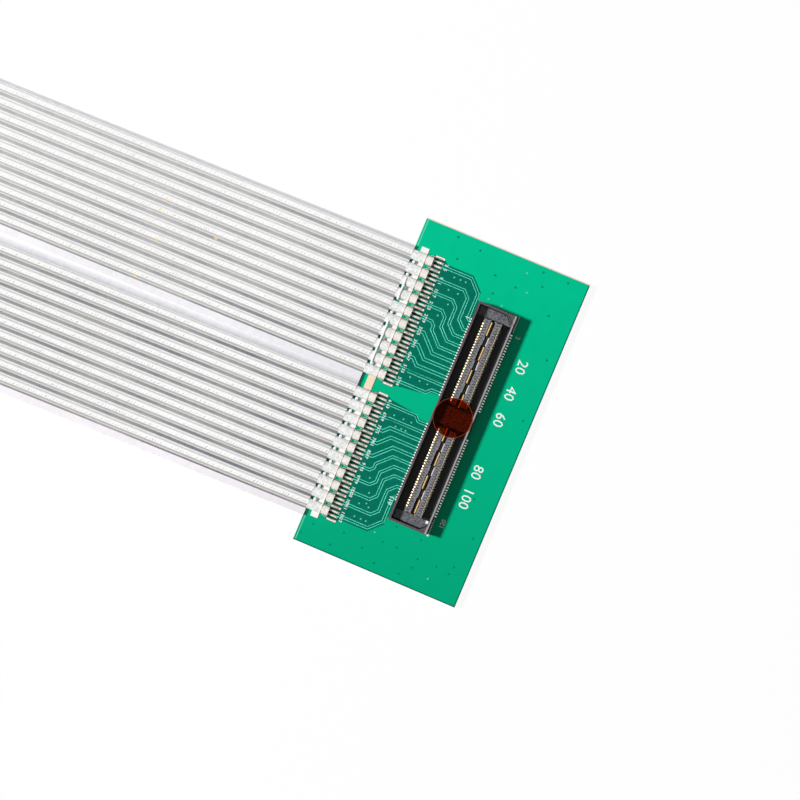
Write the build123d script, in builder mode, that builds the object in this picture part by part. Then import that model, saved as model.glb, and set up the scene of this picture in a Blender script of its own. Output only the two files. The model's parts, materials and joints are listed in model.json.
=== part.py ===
from build123d import *
import math
import os

# Flat high-speed cable assembly: a small board with a two-bank socket at each end, joined by
# two flat ribbons of ten shielded wire pairs. Millimetres. The origin is the middle of the
# underside of the first board, +X points away from the cable and +Z is up.

# Boards
board_width = 31.0
board_length = 61.5
board_thickness = 1.6

# Socket housing
socket_x = 2.42
socket_width = 7.2
socket_length = 41.3
socket_height = 3.25
side_wall = 0.35
end_wall = 0.4
floor_height = 0.6
block_height = 1.25
end_block_length = 1.8
centre_block_length = 3.3
far_corner_chamfer = 1.5
near_corner_chamfer = 1.1
foot_overhang = 0.1
foot_height = 0.35
rim_chamfer = 0.08

# Contacts, in two banks on each side of the socket
bank_pitch = 20.0
contact_pitch = 0.5
contact_width = 0.22
contact_thickness = 0.15
contact_reach = 3.86
contact_leaf_x = 1.3
contact_tip_x = 1.76
contact_tip_drop = 0.12
contact_bend_height = 0.45
contact_clearance = 0.06

# Ribs that carry the contacts, with the slot for the ground blades between them
rib_outer_x = 1.65
rib_height = 2.35
rib_end_margin = 1.05
rib_inner_margin = 0.5
end_gap = 0.15
centre_gap = 0.6
slot_half_width = 0.3
pocket_half_width = 0.45
pocket_length = 2.9

# Ground blades, one stamped strip in each bank with four raised tabs
blade_pitch = 4.5
blade_length = 2.5
blade_thickness = 0.2
blade_offset = 0.2
blade_strip_height = 0.85
blade_height = 2.2

# Pick-and-place film on the rim
film_diameter = 7.0
film_thickness = 0.08

# Wire pairs and their pads
pair_count = 10
pair_pitch = 2.4
pad_pitch = 0.8
group_offset = 13.0
pair_axis_height = 0.6
shield_width = 1.8
shield_height = 0.9
insulation_width = 1.5
insulation_height = 0.75
section_chamfer = 0.25
jacket_inset = 0.1
shield_length = 2.5
insulation_length = 1.4
signal_pad_width = 0.4
ground_pad_width = 0.5
pad_length = 1.75
pad_thickness = 0.05
pad_gap = 0.05
signal_wire = 0.26
signal_wire_length = 1.6
signal_wire_drop = 0.35
drain_wire = 0.2
drain_gap = 0.02
drain_length = 2.9
ground_strip_width = 1.4
ground_strip_length = 51.4

# Glue bead across the ends of the ribbons
bead_width = 0.55
bead_height = 0.16
bead_inset = 0.45
bead_margin = 0.3

# Flat ribbons
ribbon_length = 165.0
ridge_width = 1.7
ridge_top_width = 1.1
ridge_half_height = 0.5
web_half_thickness = 0.09
outer_margin = 0.7
low_side_outer_margin = 1.4
floor_clearance = 0.05
first_run = 14.0
drop_run = 24.0
arc_share = 0.45

# Values worked out from those above
top_z = board_thickness
rim_z = top_z + socket_height
pair_z = top_z + pair_axis_height
cable_edge = -board_width / 2
jacket_end = cable_edge + jacket_inset
shield_end = jacket_end + shield_length
insulation_end = shield_end + insulation_length
pad_start = insulation_end + pad_gap
pad_top = top_z + pad_thickness
ground_strip_thickness = pair_axis_height - shield_height / 2
cavity_half_length = socket_length / 2 - end_wall
end_block_start = cavity_half_length - end_block_length
centre_block_end = centre_block_length / 2

# The ribs fill the room between the blocks, and each bank fills its ribs with contacts
rib_inner_end = centre_block_end + centre_gap
rib_outer_end = end_block_start - end_gap
rib_length = rib_outer_end - rib_inner_end
rib_centre = (rib_outer_end + rib_inner_end) / 2
room_inwards = bank_pitch / 2 - rib_inner_end - rib_inner_margin
room_outwards = rib_outer_end - rib_end_margin - bank_pitch / 2
contacts_per_bank = round(2 * min(room_inwards, room_outwards) / contact_pitch) + 1
bank_length = (contacts_per_bank - 1) * contact_pitch
blade_room = 2 * min(bank_pitch / 2 - centre_block_end, end_block_start - bank_pitch / 2)
blades_per_bank = int((blade_room - blade_length) / blade_pitch) + 1
notch_depth_x = contact_leaf_x - contact_clearance
floor_slot_x = contact_tip_x + contact_clearance
window_height = contact_thickness + contact_clearance
bank_opening = bank_length + contact_width + 2 * contact_clearance
far_x = 2 * jacket_end - ribbon_length

# Each end is built in the frame of its own board, with local +X away from the cable
first_end = Plane(origin=(0, 0, 0), x_dir=(1, 0, 0), z_dir=(0, 0, 1))
second_end = Plane(origin=(far_x, 0, 0), x_dir=(-1, 0, 0), z_dir=(0, 0, 1))
groups = {"1": group_offset, "2": -group_offset}
banks = {"1": bank_pitch / 2, "2": -bank_pitch / 2}

os.makedirs("parts", exist_ok=True)


def save(piece, name):
    """Label one finished piece and write it under its own name."""
    piece.part.label = name
    export_step(piece.part, f"parts/{name}.step")


def side_view(end, y):
    """The plane that looks along the board's long side, at one distance from its middle."""
    spot = end.from_local_coords(Vector(0, y, 0))
    return Plane(origin=spot, x_dir=end.x_dir, z_dir=-end.y_dir)


def pair_places(group_y):
    """Distances of the ten wire pairs of one ribbon from the board's middle."""
    middle = (pair_count - 1) / 2
    return [group_y + (middle - index) * pair_pitch for index in range(pair_count)]


signal_places = []
for pair_y in pair_places(0):
    signal_places += [pair_y + pad_pitch / 2, pair_y - pad_pitch / 2]
ground_places = [(pair_count / 2 - step) * pair_pitch for step in range(pair_count + 1)]


def make_board(end):
    """The bare board, a plain rectangle with sawn edges."""
    with BuildPart() as board:
        with BuildSketch(end):
            Rectangle(board_width, board_length)
        extrude(amount=board_thickness)
    return board


def make_ground_strip(end):
    """The tinned strip along the cable edge that the pair shields are soldered to."""
    strip_x = shield_end - ground_strip_width / 2
    with BuildPart() as strip:
        with BuildSketch(end.offset(top_z)):
            with Locations((strip_x, 0)):
                Rectangle(ground_strip_width, ground_strip_length)
        extrude(amount=ground_strip_thickness)
    return strip


def make_housing(end, with_notches):
    """The moulded socket: a deep tray with end blocks and two ribs in each bank."""
    cavity_width = socket_width - 2 * side_wall
    middle = Location((socket_x, 0))
    with BuildPart() as housing:
        with BuildSketch(end.offset(top_z)):
            with Locations(middle):
                Rectangle(socket_width, socket_length)
        extrude(amount=socket_height)
        chamfer(housing.faces().sort_by(Axis.Z)[-1].edges(), rim_chamfer)
        # Feet stand on the board at both ends and in the middle, clear of the contact tails
        foot_width = socket_width + 2 * foot_overhang
        end_foot = socket_length / 2 - bank_pitch / 2 - bank_opening / 2
        end_foot_y = socket_length / 2 - end_foot / 2
        centre_foot = bank_pitch - bank_opening
        with BuildSketch(end.offset(top_z)):
            with Locations((socket_x, end_foot_y), (socket_x, -end_foot_y)):
                Rectangle(foot_width, end_foot)
            with Locations(middle):
                Rectangle(foot_width, centre_foot)
        extrude(amount=foot_height)
        # The cavity has two cut corners on the side away from the cable
        with BuildSketch(end.offset(top_z + floor_height)):
            with Locations(middle):
                Rectangle(cavity_width, 2 * cavity_half_length)
        extrude(amount=socket_height, mode=Mode.SUBTRACT)
        corner_x = socket_x + cavity_width / 2
        for cut, side in ((far_corner_chamfer, 1), (near_corner_chamfer, -1)):
            corner_y = side * cavity_half_length
            with BuildSketch(end.offset(top_z + floor_height)):
                with BuildLine():
                    Polyline(
                        (corner_x, corner_y),
                        (corner_x - cut, corner_y),
                        (corner_x, corner_y - side * cut),
                        close=True,
                    )
                make_face()
            extrude(amount=socket_height - floor_height - rim_chamfer)
        # Blocks at the ends and in the middle
        end_block_y = cavity_half_length - end_block_length / 2
        with BuildSketch(end.offset(top_z + floor_height)):
            with Locations((socket_x, end_block_y), (socket_x, -end_block_y)):
                Rectangle(cavity_width, end_block_length)
            with Locations(middle):
                Rectangle(cavity_width, centre_block_length)
        extrude(amount=block_height - floor_height)
        # Windows under the walls and slots in the floor let the contacts through
        for bank_y in banks.values():
            for side in (1, -1):
                window_inner = contact_leaf_x - contact_clearance
                window_outer = socket_width / 2 + foot_overhang
                window_x = socket_x + side * (window_inner + window_outer) / 2
                with BuildSketch(end.offset(top_z)):
                    with Locations((window_x, bank_y)):
                        Rectangle(window_outer - window_inner, bank_opening)
                extrude(amount=window_height, mode=Mode.SUBTRACT)
                slot_x = socket_x + side * (notch_depth_x + floor_slot_x) / 2
                with BuildSketch(end.offset(top_z)):
                    with Locations((slot_x, bank_y)):
                        Rectangle(floor_slot_x - notch_depth_x, bank_opening)
                extrude(amount=floor_height, mode=Mode.SUBTRACT)
        # Ribs, notched for each contact and relieved where the ground blades stand
        notch_width = contact_width + 2 * contact_clearance
        for bank_side, bank_y in ((1, banks["1"]), (-1, banks["2"])):
            with BuildSketch(end.offset(top_z + floor_height)):
                with Locations((socket_x, bank_side * rib_centre)):
                    Rectangle(2 * rib_outer_x, rib_length)
                    Rectangle(2 * slot_half_width, rib_length, mode=Mode.SUBTRACT)
                with Locations((socket_x, bank_y)):
                    with GridLocations(1, blade_pitch, 1, blades_per_bank):
                        Rectangle(2 * pocket_half_width, pocket_length, mode=Mode.SUBTRACT)
                if with_notches:
                    notch_x = notch_depth_x + rib_outer_x
                    with Locations((socket_x, bank_y)):
                        with GridLocations(notch_x, contact_pitch, 2, contacts_per_bank):
                            Rectangle(rib_outer_x - notch_depth_x, notch_width, mode=Mode.SUBTRACT)
                else:
                    recess_x = socket_x + (notch_depth_x + rib_outer_x) / 2
                    mirror_x = socket_x - (notch_depth_x + rib_outer_x) / 2
                    with Locations((recess_x, bank_y), (mirror_x, bank_y)):
                        Rectangle(rib_outer_x - notch_depth_x, bank_opening, mode=Mode.SUBTRACT)
            extrude(amount=rib_height - floor_height)
    return housing


def contact_profile(side):
    """Side view of one contact: tail on the board, leaf up the rib and tip bowed outwards."""
    inner = contact_leaf_x
    tip_z = top_z + rib_height - contact_tip_drop
    bend_z = tip_z - contact_bend_height
    spots = [
        (contact_reach, top_z),
        (contact_reach, top_z + contact_thickness),
        (inner + contact_thickness, top_z + contact_thickness),
        (inner + contact_thickness, bend_z),
        (contact_tip_x, tip_z - contact_thickness / 2),
        (contact_tip_x - contact_thickness, tip_z),
        (inner, bend_z + contact_thickness / 2),
        (inner, top_z),
    ]
    return [(socket_x + side * x, z) for x, z in spots]


def make_contacts(end, bank_y, side, count, width):
    """One row of contacts in one bank, as a group of separate strips."""
    with BuildPart() as contact:
        with BuildSketch(side_view(end, bank_y)):
            with BuildLine():
                Polyline(*contact_profile(side), close=True)
            make_face()
        extrude(amount=width / 2, both=True)
    with BuildPart() as contacts:
        with GridLocations(1, contact_pitch, 1, count):
            add(contact.part)
    return contacts


def make_ground_blade(end, bank_y):
    """The ground strip of one bank, with tabs set alternately to each side of the slot."""
    strip_length = (blades_per_bank - 1) * blade_pitch + blade_length
    with BuildPart() as blade:
        with BuildSketch(end.offset(top_z + floor_height)):
            with Locations((socket_x, bank_y)):
                Rectangle(blade_thickness, strip_length)
        extrude(amount=blade_strip_height - floor_height)
        with BuildSketch(end.offset(top_z + floor_height)):
            for index in range(blades_per_bank):
                shift = -blade_offset if index % 2 == 0 else blade_offset
                y = bank_y + ((blades_per_bank - 1) / 2 - index) * blade_pitch
                with Locations((socket_x + shift, y)):
                    Rectangle(blade_thickness, blade_length)
        extrude(amount=blade_height - floor_height)
    return blade


def make_film(end):
    """The round film that lies on the rim over the middle of the socket."""
    with BuildPart() as film:
        with BuildSketch(end.offset(rim_z)):
            with Locations((socket_x, 0)):
                Circle(film_diameter / 2)
        extrude(amount=film_thickness)
    return film


def make_pair_sections(end, group_y, start_x, length, width, height, corner):
    """Ten bars, one for each pair, such as the shields or the bare insulation."""
    spot = end.from_local_coords(Vector(start_x, 0, pair_z))
    with BuildPart() as bar:
        with BuildSketch(Plane(origin=spot, x_dir=end.y_dir, z_dir=end.x_dir)):
            Rectangle(width, height)
            if corner:
                chamfer(vertices(), corner)
        extrude(amount=length)
    with BuildPart() as bars:
        with Locations(*[(0, y) for y in pair_places(group_y)]):
            add(bar.part)
    return bars


def make_pads(end, group_y, places, width):
    """Tinned pads in one row, each as wide as asked."""
    with BuildPart() as pads:
        with BuildSketch(end.offset(top_z)):
            for y in places:
                with Locations((pad_start + pad_length / 2, group_y + y)):
                    Rectangle(pad_length, width)
        extrude(amount=pad_thickness)
    return pads


def make_signal_wires(end, group_y):
    """Twenty bare wires that step down from the insulation and lie along their pads."""
    half = signal_wire / 2
    rest_z = pad_top + half
    knee = insulation_end + signal_wire_drop
    tip = insulation_end + signal_wire_length
    with BuildPart() as wire:
        with BuildSketch(side_view(end, 0)):
            with BuildLine():
                Polyline(
                    (insulation_end, pair_z - half),
                    (knee, rest_z - half),
                    (tip, rest_z - half),
                    (tip, rest_z + half),
                    (knee, rest_z + half),
                    (insulation_end, pair_z + half),
                    close=True,
                )
            make_face()
        extrude(amount=half, both=True)
    with BuildPart() as wires:
        with Locations(*[(0, group_y + y) for y in signal_places]):
            add(wire.part)
    return wires


def make_drain_wires(end, group_y):
    """Two drain wires for each pair, from the end of its shield to the ground pads beside it."""
    near = insulation_width / 2 + drain_gap
    far = pair_pitch / 2 - drain_gap
    tip = shield_end + drain_length
    with BuildPart() as wires:
        with BuildSketch(end.offset(pad_top)):
            for pair_y in pair_places(group_y):
                for side in (1, -1):
                    with BuildLine():
                        Polyline(
                            (shield_end, pair_y + side * near),
                            (insulation_end, pair_y + side * (far - drain_wire)),
                            (tip, pair_y + side * (far - drain_wire)),
                            (tip, pair_y + side * far),
                            (insulation_end, pair_y + side * far),
                            (shield_end, pair_y + side * (near + drain_wire)),
                            close=True,
                        )
                    make_face()
        extrude(amount=drain_wire)
    return wires


def make_bead(end, group_y):
    """A low bead of glue that lies across the shields beside the ribbon's end."""
    length = pair_count * pair_pitch - 2 * bead_margin
    start = end.from_local_coords(Vector(0, group_y - length / 2, 0))
    base = pair_z + shield_height / 2
    left = jacket_end + bead_inset
    with BuildPart() as bead:
        with BuildSketch(Plane(origin=start, x_dir=end.x_dir, z_dir=-end.y_dir)):
            with BuildLine():
                base_line = Line((left, base), (left + bead_width, base))
                ThreePointArc(base_line @ 1, (left + bead_width / 2, base + bead_height), base_line @ 0)
            make_face()
        extrude(amount=-length)
    return bead


def ribbon_route():
    """Centre line of both ribbons: off the board, down to the floor, along it and up again."""
    floor_z = ridge_half_height + floor_clearance
    last_x = jacket_end - ribbon_length
    return [
        (jacket_end, 0, pair_z),
        (jacket_end - first_run, 0, pair_z),
        (jacket_end - first_run - drop_run, 0, floor_z),
        (last_x + first_run + drop_run, 0, floor_z),
        (last_x + first_run, 0, pair_z),
        (last_x, 0, pair_z),
    ]


def route_radii(route):
    """A radius for each corner, as large as its two runs allow."""
    spots = [Vector(*spot) for spot in route]
    radii = []
    for before, corner, after in zip(spots, spots[1:], spots[2:]):
        turn = math.radians((corner - before).get_angle(after - corner))
        shorter = min((corner - before).length, (after - corner).length)
        radii.append(arc_share * shorter / math.tan(turn / 2))
    return radii


def ribbon_outline(group_y):
    """Section of one ribbon across its width: a flat underside and ten ridges on top."""
    ys = sorted(pair_places(group_y))
    if group_y > 0:
        low, high = 0, ys[-1] + ridge_width / 2 + outer_margin
    else:
        low, high = ys[0] - ridge_width / 2 - low_side_outer_margin, 0
    outline = [(high, -ridge_half_height), (low, -ridge_half_height), (low, web_half_thickness)]
    for y in ys:
        outline += [
            (y - ridge_width / 2, web_half_thickness),
            (y - ridge_top_width / 2, ridge_half_height),
            (y + ridge_top_width / 2, ridge_half_height),
            (y + ridge_width / 2, web_half_thickness),
        ]
    outline.append((high, web_half_thickness))
    return outline


def make_ribbon(group_y):
    """One flat ribbon of ten pairs, swept along the route."""
    route = ribbon_route()
    radii = route_radii(route)
    with BuildPart() as ribbon:
        with BuildLine() as path:
            FilletPolyline(*route, radius=radii)
        with BuildSketch(Plane(origin=route[0], x_dir=(0, -1, 0), z_dir=(-1, 0, 0))):
            with BuildLine():
                Polyline(*[(-y, z) for y, z in ribbon_outline(group_y)], close=True)
            make_face()
        sweep(path=path.wire())
    section = section_area(ribbon_outline(group_y))
    print("ribbon radii", [round(radius) for radius in radii], "length", round(path.wire().length, 2))
    print("volume", round(ribbon.part.volume, 1), "section x length", round(section * path.wire().length, 1))
    return ribbon


def section_area(outline):
    """Area inside a closed outline."""
    area = 0.0
    for (x1, y1), (x2, y2) in zip(outline, outline[1:] + outline[:1]):
        area += x1 * y2 - x2 * y1
    return abs(area) / 2


for prefix, end, turn in (("", first_end, 1), ("far_", second_end, -1)):
    detailed = end is first_end
    save(make_board(end), f"{prefix}circuit_board")
    save(make_housing(end, detailed), f"{prefix}socket_housing")
    save(make_ground_strip(end), f"{prefix}ground_strip")
    for bank, place in banks.items():
        bank_y = turn * place
        save(make_ground_blade(end, bank_y), f"{prefix}ground_blade_{bank}")
        for side_name, side in (("cable_side", -1), ("free_side", 1)):
            count = contacts_per_bank if detailed else 1
            width = contact_width if detailed else bank_length + contact_width
            save(make_contacts(end, bank_y, side, count, width), f"{prefix}contacts_{side_name}_{bank}")
    for group, place in groups.items():
        group_y = turn * place
        corner = section_chamfer if detailed else 0
        shields = make_pair_sections(
            end, group_y, jacket_end, shield_length, shield_width, shield_height, corner
        )
        save(shields, f"{prefix}pair_shields_{group}")
        insulation = make_pair_sections(
            end, group_y, shield_end, insulation_length, insulation_width, insulation_height, corner
        )
        save(insulation, f"{prefix}pair_insulation_{group}")
        save(make_bead(end, group_y), f"{prefix}glue_bead_{group}")
        if detailed:
            save(make_pads(end, group_y, signal_places, signal_pad_width), f"signal_pads_{group}")
            save(make_pads(end, group_y, ground_places, ground_pad_width), f"ground_pads_{group}")
            save(make_signal_wires(end, group_y), f"signal_wires_{group}")
            save(make_drain_wires(end, group_y), f"drain_wires_{group}")

save(make_film(first_end), "pickup_film")
for group, group_y in groups.items():
    save(make_ribbon(group_y), f"ribbon_{group}")
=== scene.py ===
# %% [markdown]
# # A flat high-speed cable assembly, dressed for the camera
#
# The solid model holds two small circuit boards, their sockets, and two flat ribbons of
# shielded wire pairs between them. This lesson gives every surface its finish, remakes the
# soft and fine parts as smooth meshes, and sets up the light, the floor and the camera.
# We begin by loading the solid model. Its box is kept.

# %% Load the solid model
import json
import math

import bmesh
import bpy
from mathutils import Matrix, Quaternion, Vector


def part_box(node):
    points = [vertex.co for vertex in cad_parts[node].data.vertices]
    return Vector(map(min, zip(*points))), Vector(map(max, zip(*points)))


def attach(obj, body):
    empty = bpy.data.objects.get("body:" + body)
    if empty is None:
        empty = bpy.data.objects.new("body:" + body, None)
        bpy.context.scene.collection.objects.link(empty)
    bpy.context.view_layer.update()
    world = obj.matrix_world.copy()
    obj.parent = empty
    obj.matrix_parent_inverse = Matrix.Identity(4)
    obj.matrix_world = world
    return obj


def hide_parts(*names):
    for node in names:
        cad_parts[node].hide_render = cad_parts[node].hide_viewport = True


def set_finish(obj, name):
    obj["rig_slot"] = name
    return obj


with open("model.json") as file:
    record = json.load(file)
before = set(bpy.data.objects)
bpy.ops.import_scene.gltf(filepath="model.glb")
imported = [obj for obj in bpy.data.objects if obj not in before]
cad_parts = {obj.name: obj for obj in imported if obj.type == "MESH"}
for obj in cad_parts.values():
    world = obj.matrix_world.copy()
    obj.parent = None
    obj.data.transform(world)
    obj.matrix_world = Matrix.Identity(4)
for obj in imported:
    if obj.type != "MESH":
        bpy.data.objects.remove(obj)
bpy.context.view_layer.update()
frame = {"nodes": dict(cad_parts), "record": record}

print("nodes", len(frame["nodes"]))

# %% [markdown]
# ## Measures
#
# Everything is in metres, in the frame of the solid model: +X points away from the cable,
# +Y runs along the board and +Z is up. Places come from the solids' own boxes. The pitches
# below are the ones that the real boards are drawn on.

# %% Measures of the board, the socket and the pairs
mm = 0.001
scene = bpy.context.scene
body = "root"

board_low, board_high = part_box("circuit_board")
far_board_low, far_board_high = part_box("far_circuit_board")
housing_low, housing_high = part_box("socket_housing")
shield_low, shield_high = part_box("pair_shields_1")
insulation_low, insulation_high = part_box("pair_insulation_1")
pads_low, pads_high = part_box("signal_pads_1")

top = board_high.z
rim = housing_high.z
socket_x = (housing_low.x + housing_high.x) / 2
pair_z = (shield_low.z + shield_high.z) / 2
jacket_end = shield_low.x
shield_end = shield_high.x
insulation_end = insulation_high.x
pads_end = pads_high.x
far_x = far_board_low.x + far_board_high.x - (board_low.x + board_high.x)
far_x = far_x / 2

pair_count = 10
pair_pitch = 2.4 * mm
pad_pitch = 0.8 * mm
group_offset = 13.0 * mm
groups = {"1": group_offset, "2": -group_offset}
print("board top", round(top, 5), "rim", round(rim, 5), "far board at", round(far_x, 4))


def pair_places(group_y):
    """Distances of the ten wire pairs of one ribbon from the board's middle, from +Y down."""
    middle = (pair_count - 1) / 2
    return [group_y + (middle - index) * pair_pitch for index in range(pair_count)]


# %% [markdown]
# ## Helpers for pieces
#
# A new piece is shaped as a bmesh, becomes an object at the origin, gets one material and
# rides on the part. Every piece of the first board goes on a list, because the far board at
# the cable's other end is the same board, and it gets a turned copy of each but the pick-up film.

# %% Helpers for pieces
first_end_pieces = []


def add_piece(mesh, name, material, slot, at_first_end=True):
    """Make an object of a mesh, give it its finish and let it ride on the part."""
    piece = bpy.data.objects.new(name, mesh)
    scene.collection.objects.link(piece)
    mesh.materials.clear()
    mesh.materials.append(material)
    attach(piece, body)
    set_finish(piece, slot)
    if at_first_end:
        first_end_pieces.append(piece)
    return piece


def finish_bmesh(bm, name, material, slot, smooth_angle=None, at_first_end=True):
    """Point the faces of a bmesh outwards and turn it into a piece."""
    bmesh.ops.recalc_face_normals(bm, faces=bm.faces)
    mesh = bpy.data.meshes.new(name)
    bm.to_mesh(mesh)
    bm.free()
    if smooth_angle is not None:
        mesh.shade_smooth()
        mesh.set_sharp_from_angle(angle=math.radians(smooth_angle))
    return add_piece(mesh, name, material, slot, at_first_end)


def line_object(name, lines, kind, radius=0.0, sides=2):
    """A curve object with one spline for each line of points, round where it has a radius."""
    curve = bpy.data.curves.new(name, "CURVE")
    curve.dimensions = "3D"
    curve.resolution_u = 10
    curve.bevel_depth = radius
    curve.bevel_resolution = sides
    curve.use_fill_caps = radius > 0
    for points in lines:
        spline = curve.splines.new(kind)
        spline.points.add(len(points) - 1)
        for spot, point in zip(spline.points, points):
            spot.co = (*point, 1)
        if kind == "NURBS":
            spline.order_u = 3
            spline.use_endpoint_u = True
    guide = bpy.data.objects.new(name, curve)
    scene.collection.objects.link(guide)
    return guide


def mesh_of(guide):
    """The mesh of a curve or text object, which is then removed."""
    mesh = bpy.data.meshes.new_from_object(guide)
    bpy.data.objects.remove(guide)
    return mesh


def round_lines(name, lines, radius, material, slot, kind="NURBS", sides=2):
    """Round wires or tracks that follow lines of points."""
    mesh = mesh_of(line_object(name, lines, kind, radius, sides))
    mesh.shade_smooth()
    return add_piece(mesh, name, material, slot)


# %% [markdown]
# ## Helpers for finishes
#
# No real surface has one even colour. A shader node group called Fine_variation blends two
# colours and two roughness values by a noise of a chosen grain, and gives the same noise as
# a height for a Bump node. Its grain is stated in millimetres. The group is built once, and
# every material places it with values of its own.

# %% The node group that every finish uses
def new_group(name, inputs, outputs):
    """An empty shader node group with named inputs and outputs."""
    group = bpy.data.node_groups.new(name, "ShaderNodeTree")
    for label, kind in inputs:
        group.interface.new_socket(name=label, in_out="INPUT", socket_type=kind)
    for label, kind in outputs:
        group.interface.new_socket(name=label, in_out="OUTPUT", socket_type=kind)
    return group, group.nodes.new("NodeGroupInput"), group.nodes.new("NodeGroupOutput")


def math_node(tree, operation, first, second=None, clamp=False):
    """A Math node whose inputs are numbers or other nodes' outputs."""
    node = tree.nodes.new("ShaderNodeMath")
    node.operation = operation
    node.use_clamp = clamp
    for socket, value in zip(node.inputs, (first, second)):
        if value is None:
            continue
        if isinstance(value, (int, float)):
            socket.default_value = value
        else:
            tree.links.new(value, socket)
    return node.outputs[0]


def mix_colours(tree, factor, first, second):
    """A Mix node that blends two colours, each a tuple or another node's output."""
    node = tree.nodes.new("ShaderNodeMix")
    node.data_type = "RGBA"
    for index, value in ((0, factor), (6, first), (7, second)):
        socket = node.inputs[index]
        if isinstance(value, (int, float)):
            socket.default_value = value
        elif isinstance(value, tuple):
            socket.default_value = (*value, 1)
        else:
            tree.links.new(value, socket)
    return node.outputs[2]


variation, inside, outside = new_group(
    "Fine_variation",
    [
        ("First colour", "NodeSocketColor"),
        ("Second colour", "NodeSocketColor"),
        ("Low roughness", "NodeSocketFloat"),
        ("High roughness", "NodeSocketFloat"),
        ("Grain in mm", "NodeSocketFloat"),
    ],
    [
        ("Colour", "NodeSocketColor"),
        ("Roughness", "NodeSocketFloat"),
        ("Height", "NodeSocketFloat"),
    ],
)
place = variation.nodes.new("ShaderNodeTexCoord")
grain_noise = variation.nodes.new("ShaderNodeTexNoise")
grain_noise.inputs["Detail"].default_value = 3
variation.links.new(place.outputs["Object"], grain_noise.inputs["Vector"])
grain_scale = math_node(variation, "DIVIDE", 1 / mm, inside.outputs["Grain in mm"])
variation.links.new(grain_scale, grain_noise.inputs["Scale"])
spread = variation.nodes.new("ShaderNodeMapRange")
spread.inputs["From Min"].default_value = 0.3
spread.inputs["From Max"].default_value = 0.7
variation.links.new(grain_noise.outputs["Fac"], spread.inputs["Value"])
blend = mix_colours(
    variation, spread.outputs[0], inside.outputs["First colour"], inside.outputs["Second colour"]
)
variation.links.new(blend, outside.inputs["Colour"])
rough = variation.nodes.new("ShaderNodeMapRange")
variation.links.new(spread.outputs[0], rough.inputs["Value"])
variation.links.new(inside.outputs["Low roughness"], rough.inputs["To Min"])
variation.links.new(inside.outputs["High roughness"], rough.inputs["To Max"])
variation.links.new(rough.outputs[0], outside.inputs["Roughness"])
variation.links.new(grain_noise.outputs["Fac"], outside.inputs["Height"])
print("group", variation.name)


# %% Helpers that place the group in a material
def place_variation(tree, first, second, grain, roughness=(0.5, 0.5)):
    """The group, placed in one material with values of its own."""
    varied = tree.nodes.new("ShaderNodeGroup")
    varied.node_tree = variation
    varied.inputs["First colour"].default_value = (*first, 1)
    varied.inputs["Second colour"].default_value = (*second, 1)
    varied.inputs["Low roughness"].default_value = roughness[0]
    varied.inputs["High roughness"].default_value = roughness[1]
    varied.inputs["Grain in mm"].default_value = grain
    return varied


def new_finish(name, first, second, roughness, grain, bump=0.0, **constants):
    """A material whose colour and roughness vary, with constants on the shader's own sockets."""
    finish = bpy.data.materials.new(name)
    finish.use_nodes = True
    tree = finish.node_tree
    shader = tree.nodes["Principled BSDF"]
    varied = place_variation(tree, first, second, grain, roughness)
    varied.name = "Variation"
    tree.links.new(varied.outputs["Colour"], shader.inputs["Base Color"])
    tree.links.new(varied.outputs["Roughness"], shader.inputs["Roughness"])
    if bump:
        relief = tree.nodes.new("ShaderNodeBump")
        relief.name = "Relief"
        relief.inputs["Strength"].default_value = bump
        relief.inputs["Distance"].default_value = 0.05 * mm
        tree.links.new(varied.outputs["Height"], relief.inputs["Height"])
        tree.links.new(relief.outputs["Normal"], shader.inputs["Normal"])
    for label, value in constants.items():
        shader.inputs[label.replace("_", " ")].default_value = value
    return finish


def split_axes(tree, node, output):
    """The three components of a vector output."""
    split = tree.nodes.new("ShaderNodeSeparateXYZ")
    tree.links.new(node.outputs[output], split.inputs[0])
    return split.outputs["X"], split.outputs["Y"], split.outputs["Z"]


def ease(tree, value, low, high):
    """A share that goes from 0 at the low value to 1 at the high one."""
    node = tree.nodes.new("ShaderNodeMapRange")
    node.inputs["From Min"].default_value = low
    node.inputs["From Max"].default_value = high
    tree.links.new(value, node.inputs["Value"])
    return node.outputs[0]


def board_axes(tree):
    """X, Y and height of a surface in the frame of its own board, the near or the far one."""
    place = tree.nodes.new("ShaderNodeTexCoord")
    place_x, place_y, place_z = split_axes(tree, place, "Object")
    cable_middle = far_x / 2
    from_middle = math_node(tree, "SUBTRACT", place_x, cable_middle)
    board_x = math_node(tree, "SUBTRACT", math_node(tree, "ABSOLUTE", from_middle), -cable_middle)
    board_y = math_node(tree, "MULTIPLY", place_y, math_node(tree, "SIGN", from_middle))
    return board_x, board_y, place_z


def within(tree, value, low, high):
    """A mask that is 1 where a value lies between two limits."""
    above = math_node(tree, "GREATER_THAN", value, low)
    return math_node(tree, "MULTIPLY", above, math_node(tree, "LESS_THAN", value, high))


def combine(tree, operation, masks):
    """Several masks in one: MULTIPLY keeps what all share, MAXIMUM what any one holds."""
    total = masks[0]
    for mask in masks[1:]:
        total = math_node(tree, operation, total, mask)
    return total


def dress(node, finish):
    """Give a solid of the frame its finish."""
    mesh = frame["nodes"][node].data
    mesh.materials.clear()
    mesh.materials.append(finish)


# %% [markdown]
# ## The bare board
#
# A circuit board is glass fibre with copper on it, under a thin green lacquer. Where the
# copper lies under the lacquer the green is light, and where it is etched away the green is
# dark. The board's cut edges show the pale glass fibre. One material can hold both: the
# Normal output of the Geometry node tells the flat faces from the sawn ones.

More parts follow.
